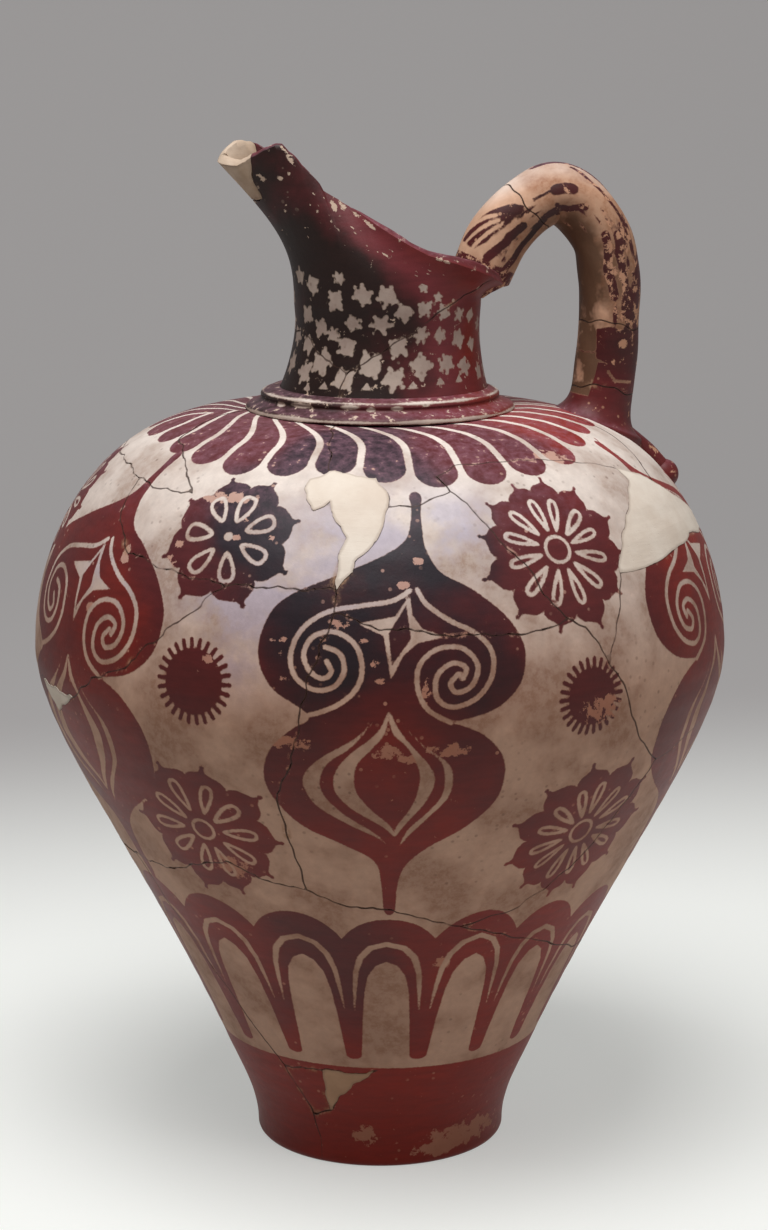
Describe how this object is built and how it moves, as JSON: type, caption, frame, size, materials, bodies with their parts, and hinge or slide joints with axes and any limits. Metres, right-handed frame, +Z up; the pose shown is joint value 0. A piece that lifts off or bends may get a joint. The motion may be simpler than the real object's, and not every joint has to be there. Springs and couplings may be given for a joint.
{
  "type": "beaked handled jar",
  "caption": "Mended painted clay jar with a broad belly, narrow foot, waisted neck, rising beak spout and a bar handle from rim to shoulder, for pouring and showing.",
  "frame": {"origin": "centre of the foot's flat underside", "axes": "+Z up the vessel's axis, beak towards -X, handle towards +X, the pictured face towards -Y"},
  "size_m": [0.272, 0.272, 0.3994],
  "materials": {
    "painted_clay": "slip-painted, burnished, worn",
    "foot_clay": "red slip, satin, worn",
    "neck_clay": "dark slip, satin, worn",
    "handle_clay": "buff clay with worn dark slip",
    "plaster": "matt plaster fill"
  },
  "bodies": {
    "root": {"front_left_sherd": "painted_clay", "left_wedge_sherd": "painted_clay", "left_ornament_sherd": "painted_clay", "left_belly_sherd": "painted_clay", "middle_ornament_sherd": "painted_clay", "front_top_sherd": "painted_clay", "front_shoulder_sherd": "painted_clay", "right_rosette_sherd": "painted_clay", "handle_side_sherd": "painted_clay", "right_ornament_sherd": "painted_clay", "right_belly_sherd": "painted_clay", "foot_front_sherd": "foot_clay", "foot_chip_sherd": "foot_clay", "foot_left_sherd": "foot_clay", "foot_back_left_sherd": "foot_clay", "foot_back_right_sherd": "foot_clay", "back_left_sherd": "painted_clay", "back_right_sherd": "painted_clay", "back_shoulder_sherd": "painted_clay", "front_fill": "plaster", "left_fill": "plaster", "right_fill": "plaster", "foot_fill": "plaster", "neck_left_sherd": "neck_clay", "neck_back_sherd": "neck_clay", "neck_right_sherd": "neck_clay", "beak_sherd": "neck_clay", "beak_tip_fill": "plaster", "neck_moulding": "neck_clay", "handle_rim_arm": "handle_clay", "handle_arch": "handle_clay", "handle_shank": "handle_clay", "handle_root": "handle_clay", "tail_pellet": "handle_clay"}
  },
  "joints": []
}
